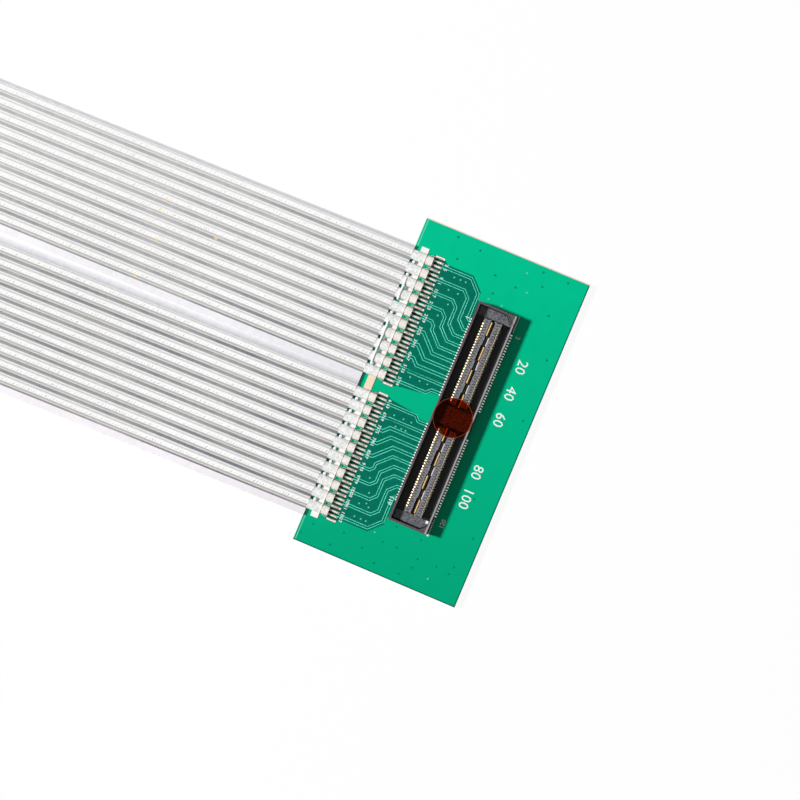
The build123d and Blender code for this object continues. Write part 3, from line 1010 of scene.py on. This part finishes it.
core_width = insulation_high.y - insulation_low.y - 9 * pair_pitch
wrap_width = shield_high.y - shield_low.y - 9 * pair_pitch
wrap_height = shield_high.z - shield_low.z
for group, group_y in groups.items():
    insulation = rods(
        f"insulated_cores_{group}", pair_places(group_y), shield_end, insulation_end,
        core_width + 0.15 * mm, wrap_height - 0.06 * mm, cream, "cream_insulation",
    )
    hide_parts(f"pair_insulation_{group}")
    wrap = rods(
        f"pair_wraps_{group}", pair_places(group_y), jacket_end, shield_end,
        wrap_width, wrap_height, milky, "pair_wrap",
    )
    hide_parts(f"pair_shields_{group}")
    line = []
    for y in pair_places(group_y):
        for step, drop in ((1.0, 0.45), (0.7, 0.02), (0.0, 0.0), (-0.7, 0.02), (-1.0, 0.45)):
            line.append((shield_end, y + step * mm, pair_z + wrap_height / 2 - drop * mm))
    round_lines(f"flux_line_{group}", [line], 0.07 * mm, flux, "tinned_copper")

# %% [markdown]
# ## Glue
#
# White glue lies across the wraps beside the ribbons' ends. On the first ribbon it shows as
# two straight bright rods, each over a few pairs, and drops in the gaps beside them. On the
# second it has run into the gaps between the pairs and stands there as drops only.

# %% The glue lines
glue = new_finish(
    "glue_bead", (0.86, 0.90, 0.88), (0.97, 0.98, 0.97), (0.06, 0.15), 0.5, bump=0.6
)
bead_low, bead_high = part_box("glue_bead_1")
bead_x = (bead_low.x + bead_high.x) / 2
glue_radius = 0.23 * mm
drop_radius = 0.3 * mm


def glue_rod(start_y, end_y, drift):
    """A rod of glue on top of the wraps, which wanders a little sideways."""
    return [
        (bead_x - drift, start_y, bead_low.z - 0.06 * mm),
        (bead_x + drift, start_y + (end_y - start_y) * 0.3, bead_low.z),
        (bead_x - drift, start_y + (end_y - start_y) * 0.7, bead_low.z),
        (bead_x, end_y, bead_low.z - 0.06 * mm),
    ]


def glue_drop(y, drift):
    """A drop of glue between two pairs, as a very short rod."""
    return [
        (bead_x + drift - 0.12 * mm, y, pair_z),
        (bead_x + drift, y - 0.05 * mm, pair_z + 0.08 * mm),
        (bead_x + drift + 0.12 * mm, y, pair_z),
    ]


def add_glue(group, rods, drops):
    """The rods and drops of one ribbon as a single piece."""
    bm = bmesh.new()
    for name, lines, radius in (("rods", rods, glue_radius), ("drops", drops, drop_radius)):
        mesh = mesh_of(line_object(name, lines, "NURBS", radius))
        bm.from_mesh(mesh)
        bpy.data.meshes.remove(mesh)
    bead = finish_bmesh(bm, f"glue_line_{group}", glue, "clear_glue", smooth_angle=60)
    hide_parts(f"glue_bead_{group}")


def gap_above(group, index):
    """The middle of the gap on the +Y side of one pair."""
    return pair_places(groups[group])[index] + pair_pitch / 2


rods_on_first = [
    glue_rod(19.5 * mm, 15.4 * mm, 0.04 * mm),
    glue_rod(11.4 * mm, 3.6 * mm, 0.05 * mm),
]
drops_on_first = [glue_drop(gap_above("1", index), 0.1 * mm * math.sin(index * 2.3)) for index in (1, 2, 5, 9)]
drops_on_second = [glue_drop(gap_above("2", index), 0.12 * mm * math.sin(index * 2.3)) for index in range(1, pair_count)]
add_glue("1", rods_on_first, drops_on_first)
add_glue("2", [], drops_on_second)

# %% [markdown]
# ## The ribbons
#
# Each ribbon is two films laminated over ten wrapped pairs. Its route is a smooth spline
# through given points: level off the board, down to the table, along it and up to the
# far board. A section across the ribbon is drawn once, and extruded from each point of the
# spline to the next. Two numbers are kept on every vertex, the distance along the ribbon
# and the distance across it counted in pairs. They become the UV map that the finish reads.

# %% The ribbon's route and section
web = 0.09 * mm
ridge_rise = 0.40 * mm
ribbon_middles = {"1": 12.675 * mm, "2": -13.025 * mm}
ribbon_widths = {"1": 25.35 * mm, "2": 26.05 * mm}
ribbon_leans = {"1": 0.0105, "2": 0.0204}


def ribbon_route(group):
    """Control points of a ribbon's middle line. It leans a little as it leaves the board."""
    y = ribbon_middles[group]
    lean = ribbon_leans[group]
    level, floor = 2.2 * mm, 0.55 * mm
    stations = [(-15.4, level), (-29.4, level), (-53.4, floor), (-92.0, floor)]
    mirrored = [(-195.8 - x, z) for x, z in reversed(stations)]
    points = []
    for x, z in stations + mirrored:
        from_end = min(-15.4 - x, x + 180.4) * mm
        points.append((x * mm, y - lean * from_end, z))
    return points


def bump_shape(distance, half_width):
    """Height of a rounded ridge, from 1 on its back to 0 at its foot."""
    share = abs(distance) / half_width
    return (1 - share ** 3) ** (1 / 2) if share < 1 else 0.0


def film_height(across):
    """Rise of the film above its web, at one distance from the middle of a pair."""
    pair = ridge_rise * bump_shape(across - 0.25 * mm, 0.64 * mm)
    drain = 0.19 * mm * bump_shape(across + 0.56 * mm, 0.2 * mm)
    return max(pair, drain)


stations_across = [
    1.0, 0.89, 0.87, 0.83, 0.74, 0.6, 0.4, 0.2, 0.0, -0.17, -0.28, -0.35, -0.4,
    -0.46, -0.53, -0.6, -0.68, -0.74, -0.77,
]


def ribbon_section(group):
    """Points across a ribbon as (distance from its middle line, height), top then underside."""
    middle, width = ribbon_middles[group], ribbon_widths[group]
    upper = [(width / 2, web)]
    for y in pair_places(groups[group]):
        for step in stations_across:
            across = step * mm
            upper.append((y + across - middle, web + film_height(across)))
    upper.append((-width / 2, web))
    lower = [(y, -z) for y, z in reversed(upper)]
    return upper + lower


# %% The ribbons' finish
ribbon_finish = new_finish(
    "laminated_film", (0.86, 0.86, 0.88), (0.93, 0.93, 0.94), (0.22, 0.34), 1.4
)
tree = ribbon_finish.node_tree
shader = tree.nodes["Principled BSDF"]
uv = tree.nodes.new("ShaderNodeUVMap")
uv.uv_map = "along_and_across"
split = tree.nodes.new("ShaderNodeSeparateXYZ")
tree.links.new(uv.outputs[0], split.inputs[0])
along, across = split.outputs["X"], split.outputs["Y"]
share = math_node(tree, "FRACT", math_node(tree, "ADD", across, 0.5))
# The bands across each pair are partly its own colours, the white wrap and the grey gap, and partly painted shade on
# the ridges' sides and in the web beside each pair
bands = tree.nodes.new("ShaderNodeValToRGB")
tree.links.new(share, bands.inputs[0])
band_colours = [
    (0.00, (0.38, 0.38, 0.40)),
    (0.04, (0.60, 0.60, 0.61)),
    (0.08, (0.76, 0.76, 0.76)),
    (0.12, (0.83, 0.82, 0.81)),
    (0.20, (0.84, 0.83, 0.82)),
    (0.28, (0.96, 0.96, 0.95)),
    (0.54, (0.96, 0.96, 0.95)),
    (0.585, (0.62, 0.61, 0.60)),
    (0.63, (0.44, 0.43, 0.41)),
    (0.66, (0.48, 0.46, 0.44)),
    (0.71, (0.68, 0.64, 0.61)),
    (0.755, (0.68, 0.65, 0.62)),
    (0.79, (0.46, 0.45, 0.44)),
    (0.84, (0.25, 0.25, 0.25)),
    (0.90, (0.17, 0.175, 0.185)),
    (0.95, (0.21, 0.215, 0.23)),
]
elements = bands.color_ramp.elements
while len(elements) < len(band_colours):
    elements.new(0.5)
for element, (position, colour) in zip(elements, band_colours):
    element.position = position
    element.color = (*colour, 1)

# The wrap's turns show as short slanting dashes on the lower half of each pair
wobble = tree.nodes.new("ShaderNodeTexNoise")
wobble.inputs["Scale"].default_value = 0.9
tree.links.new(uv.outputs[0], wobble.inputs["Vector"])
turns = math_node(tree, "DIVIDE", along, -0.55)
slant = math_node(tree, "MULTIPLY", across, 2.4)
phase = math_node(tree, "ADD", turns, slant)
phase = math_node(tree, "ADD", phase, math_node(tree, "MULTIPLY", wobble.outputs["Fac"], 3.0))
wave = math_node(tree, "SINE", math_node(tree, "MULTIPLY", phase, 2 * math.pi))
dash = math_node(tree, "MULTIPLY", math_node(tree, "ADD", wave, -0.1), 2.0, clamp=True)
off_middle = math_node(tree, "ABSOLUTE", math_node(tree, "ADD", share, -0.44))
on_face = math_node(tree, "SUBTRACT", 1.0, math_node(tree, "DIVIDE", off_middle, 0.13), clamp=True)
patches = tree.nodes.new("ShaderNodeTexNoise")
patches.inputs["Scale"].default_value = 0.35
tree.links.new(uv.outputs[0], patches.inputs["Vector"])
patchy = math_node(tree, "ADD", patches.outputs["Fac"], 0.2, clamp=True)
dashes = math_node(tree, "MULTIPLY", math_node(tree, "MULTIPLY", dash, on_face), patchy, clamp=True)
banded = mix_colours(tree, dashes, bands.outputs[0], (0.42, 0.43, 0.44))

# The dark foot of each pair, partly painted shade, is deeper and bluer in some lengths than in others
streak_place = tree.nodes.new("ShaderNodeCombineXYZ")
tree.links.new(math_node(tree, "MULTIPLY", along, 0.07), streak_place.inputs["X"])
pair_number = math_node(tree, "FLOOR", math_node(tree, "ADD", across, 0.5))
tree.links.new(math_node(tree, "MULTIPLY", pair_number, 7.3), streak_place.inputs["Y"])
streaks = tree.nodes.new("ShaderNodeTexNoise")
streaks.inputs["Scale"].default_value = 1.0
tree.links.new(streak_place.outputs[0], streaks.inputs["Vector"])
streak_share = ease(tree, streaks.outputs["Fac"], 0.38, 0.62)
streak_colour = mix_colours(tree, streak_share, (0.34, 0.34, 0.34), (0.085, 0.10, 0.135))
on_foot = math_node(tree, "MULTIPLY", within(tree, share, 0.80, 1.0), 0.55)
banded = mix_colours(tree, on_foot, banded, streak_colour)

# The first ribbon is painted paler than the second, as painted light that is stronger towards +Y,
# and both turn a little greyer off the board
place = tree.nodes.new("ShaderNodeTexCoord")
on_first = math_node(tree, "GREATER_THAN", split_axes(tree, place, "Object")[1], 0.0)
off_board = math_node(tree, "MULTIPLY", ease(tree, along, 14.0, 45.0), 0.12)
banded = mix_colours(tree, off_board, banded, (0.50, 0.50, 0.49))
painted_light_paleness = math_node(tree, "ADD", math_node(tree, "MULTIPLY", off_board, 0.6), 0.15)
painted_light_paleness = math_node(tree, "MULTIPLY", painted_light_paleness, ease(tree, across, 13.0, 2.0))
painted_light_paleness = math_node(tree, "MULTIPLY", on_first, painted_light_paleness)
banded = mix_colours(tree, painted_light_paleness, banded, (0.95, 0.95, 0.94))

# Outside the ten pairs the film is plain lavender, and its grey towards the pairs is painted
# shade where the film dips beside them
painted_shade_near_pairs = math_node(tree, "MAXIMUM", ease(tree, across, -0.9, -0.45), math_node(tree, "MULTIPLY", on_first, 0.75))
upper_margin = mix_colours(tree, painted_shade_near_pairs, (0.78, 0.77, 0.83), (0.30, 0.30, 0.34))
lower_margin = mix_colours(tree, on_first, (0.80, 0.74, 0.79), (0.75, 0.74, 0.785))
margin = mix_colours(tree, math_node(tree, "GREATER_THAN", across, 5.0), upper_margin, lower_margin)
margin = mix_colours(tree, 0.3, margin, tree.nodes["Variation"].outputs["Colour"])
colour = mix_colours(tree, within(tree, across, -0.42, 9.42), margin, banded)

# A few yellow specks of old flux lie on the first ribbon
flux_specks = [(-59.7, 16.1), (-60.0, 13.9), (-58.6, 8.8), (-48.8, 13.1), (-59.7, 1.3)]
for speck_x, speck_y in flux_specks:
    offset = tree.nodes.new("ShaderNodeVectorMath")
    offset.operation = "DISTANCE"
    offset.inputs[1].default_value = (speck_x * mm, speck_y * mm, 1.0 * mm)
    tree.links.new(place.outputs["Object"], offset.inputs[0])
    is_speck = math_node(tree, "LESS_THAN", offset.outputs["Value"], 0.36 * mm)
    colour = mix_colours(tree, math_node(tree, "MULTIPLY", is_speck, 0.6), colour, (0.90, 0.68, 0.32))
tree.links.new(colour, shader.inputs["Base Color"])
relief = tree.nodes.new("ShaderNodeBump")
relief.inputs["Strength"].default_value = 0.5
relief.inputs["Distance"].default_value = 0.05 * mm
tree.links.new(dashes, relief.inputs["Height"])
tree.links.new(relief.outputs["Normal"], shader.inputs["Normal"])


# %% Extruding the ribbons
def make_ribbon(group):
    """One ribbon, its section extruded along the points of its spline."""
    guide = line_object(f"route_{group}", [ribbon_route(group)], "NURBS")
    route_mesh = mesh_of(guide)
    path = [vert.co.copy() for vert in route_mesh.vertices]
    bpy.data.meshes.remove(route_mesh)
    bm = bmesh.new()
    along_layer = bm.verts.layers.float.new("along")
    across_layer = bm.verts.layers.float.new("across")
    ring = []
    first_pair = pair_places(groups[group])[0]
    for y, z in ribbon_section(group):
        vert = bm.verts.new(path[0] + Vector((0, y, z)))
        vert[across_layer] = (first_pair - ribbon_middles[group] - y) / pair_pitch
        ring.append(vert)
    edges = [bm.edges.new((ring[index - 1], ring[index])) for index in range(len(ring))]
    bmesh.ops.contextual_create(bm, geom=edges)
    travelled = 0.0
    for before, after in zip(path, path[1:]):
        step = after - before
        travelled += step.length
        made = bmesh.ops.extrude_edge_only(bm, edges=edges)["geom"]
        verts = [item for item in made if isinstance(item, bmesh.types.BMVert)]
        edges = [
            item for item in made
            if isinstance(item, bmesh.types.BMEdge) and item.verts[0] in verts and item.verts[1] in verts
        ]
        bmesh.ops.translate(bm, verts=verts, vec=step)
        for vert in verts:
            vert[along_layer] = travelled / mm
    bmesh.ops.contextual_create(bm, geom=edges)
    uv_layer = bm.loops.layers.uv.new("along_and_across")
    for face in bm.faces:
        for loop in face.loops:
            loop[uv_layer].uv = (loop.vert[along_layer], loop.vert[across_layer])
    name = f"ribbon_{group}_laminated"
    ribbon = finish_bmesh(bm, name, ribbon_finish, "ribbon_film", smooth_angle=60, at_first_end=False)
    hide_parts(f"ribbon_{group}")
    print(name, "length", round(travelled, 4), "faces", len(ribbon.data.polygons))
    return ribbon, path


ribbons = {group: make_ribbon(group) for group in groups}

# %% [markdown]
# ## The far board
#
# The cable's other end has the same board. Every piece of the first board but the pick-up
# film is copied, its doubles are merged where it comes from a solid, and the copy is turned
# half round about the upright axis and moved along the cable.

# %% The far board
far_place = Matrix.Translation((far_x, 0, 0)) @ Matrix.Rotation(math.pi, 4, "Z")
solids_to_copy = {
    "circuit_board": "far_circuit_board",
    "socket_housing": "far_socket_housing",
    "ground_strip": "far_ground_strip",
}
other = {"1": "2", "2": "1"}
for bank in ("1", "2"):
    solids_to_copy[f"ground_blade_{bank}"] = f"far_ground_blade_{other[bank]}"
    solids_to_copy[f"signal_pads_{bank}"] = None
    solids_to_copy[f"ground_pads_{bank}"] = None
stand_ins = {}
for group in groups:
    stand_ins[f"insulated_cores_{group}"] = f"far_pair_insulation_{other[group]}"
    stand_ins[f"pair_wraps_{group}"] = f"far_pair_shields_{other[group]}"
    stand_ins[f"glue_line_{group}"] = f"far_glue_bead_{other[group]}"
    for row in ("cable_side", "free_side"):
        stand_ins[f"formed_contacts_{row}_{group}"] = f"far_contacts_{row}_{other[group]}"
slots = {item["node"]: item["material_slot"] for item in frame["record"]["subparts"]}


def turned_copy(source, name, slot, from_solid):
    """A copy of a piece, turned half round and moved to the far board."""
    mesh = source.data.copy()
    mesh.name = name
    if from_solid:
        bm = bmesh.new()
        bm.from_mesh(mesh)
        bmesh.ops.remove_doubles(bm, verts=bm.verts, dist=0.001 * mm)
        bm.to_mesh(mesh)
        bm.free()
    mesh.transform(far_place)
    return add_piece(mesh, name, source.data.materials[0], slot, at_first_end=False)


far_pieces = []
for source, target in solids_to_copy.items():
    copy = turned_copy(frame["nodes"][source], f"far_end_{source}", slots[source], True)
    if target:
        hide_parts(target)
    far_pieces.append(copy)
for piece in first_end_pieces:
    if piece is film:
        continue
    copy = turned_copy(piece, f"far_end_{piece.name}", piece["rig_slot"], False)
    if piece.name in stand_ins:
        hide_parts(stand_ins[piece.name])
    far_pieces.append(copy)
print("far pieces", len(far_pieces))

# %% Splitting the far pieces between the ribbons
for group, (ribbon, path) in ribbons.items():
    carried = far_pieces[::2] if group == "1" else far_pieces[1::2]

# %% [markdown]
# ## Floor, light and camera
#
# The floor is white and seen as white by the camera, but it still takes the part's shadow.
# One lamp of middling size stands on the cable's side and throws the socket's short, fairly
# crisp shadow. The pale world fills the rest. The camera looks almost straight down.

# %% The floor
floor_material = bpy.data.materials.new("white_floor")
floor_material.use_nodes = True
tree = floor_material.node_tree
shader = tree.nodes["Principled BSDF"]
shader.inputs["Base Color"].default_value = (0.93, 0.93, 0.93, 1)
shader.inputs["Roughness"].default_value = 0.8
shader.inputs["Specular IOR Level"].default_value = 0.0
glow = tree.nodes.new("ShaderNodeEmission")
rays = tree.nodes.new("ShaderNodeLightPath")
choose = tree.nodes.new("ShaderNodeMixShader")
seen = math_node(tree, "ADD", rays.outputs["Is Camera Ray"], rays.outputs["Is Glossy Ray"])
seen = math_node(tree, "ADD", seen, rays.outputs["Is Transmission Ray"], clamp=True)
seen = math_node(tree, "MULTIPLY", seen, 0.93)
tree.links.new(seen, choose.inputs[0])
tree.links.new(shader.outputs[0], choose.inputs[1])
tree.links.new(glow.outputs[0], choose.inputs[2])
tree.links.new(choose.outputs[0], tree.nodes["Material Output"].inputs["Surface"])
bm = bmesh.new()
bmesh.ops.create_grid(bm, x_segments=1, y_segments=1, size=3.0)
floor_mesh = bpy.data.meshes.new("floor")
bm.to_mesh(floor_mesh)
bm.free()
floor = bpy.data.objects.new("floor", floor_mesh)
scene.collection.objects.link(floor)
floor_mesh.materials.append(floor_material)

# %% The light
world = bpy.data.worlds.new("studio")
scene.world = world
world.use_nodes = True
tree = world.node_tree
sky = tree.nodes["Background"]
direction = tree.nodes.new("ShaderNodeTexCoord")
overhead = split_axes(tree, direction, "Generated")[2]
softbox = ease(tree, overhead, math.cos(math.radians(24)), math.cos(math.radians(14)))
tree.links.new(mix_colours(tree, softbox, (0.06, 0.06, 0.06), (1.0, 1.0, 1.0)), sky.inputs["Color"])
sky.inputs["Strength"].default_value = 1.0


def add_lamp(name, place, aim, size, power):
    """A square lamp that looks at a point."""
    data = bpy.data.lights.new(name, "AREA")
    data.size = size
    data.energy = power
    lamp = bpy.data.objects.new(name, data)
    scene.collection.objects.link(lamp)
    place, aim = Vector(place), Vector(aim)
    lamp.matrix_world = Matrix.Translation(place) @ (aim - place).to_track_quat("-Z", "Y").to_matrix().to_4x4()
    return lamp


add_lamp("key", (-0.62, -0.08, 0.78), (0.0, 0.0, 0.0), 0.12, 10.4)

# %% The camera
camera_place = Vector((14.0, 10.4, 360.8)) * mm
camera_aim = Vector((-7.49, -0.768, 1.6)) * mm
camera_roll = math.radians(22.714)
camera_data = bpy.data.cameras.new("camera")
camera_data.lens = 91.96
camera_data.sensor_width = 36.0
camera_data.clip_start = 0.01
camera = bpy.data.objects.new("camera", camera_data)
scene.collection.objects.link(camera)
scene.camera = camera
back = (camera_place - camera_aim).normalized()
along_board = Vector((0, 1, 0))
up = (along_board - along_board.dot(back) * back).normalized()
up.rotate(Quaternion(back, camera_roll))
right = up.cross(back)
turned = Matrix((right, up, back)).transposed().to_4x4()
camera.matrix_world = Matrix.Translation(camera_place) @ turned
scene.view_settings.view_transform = "Standard"
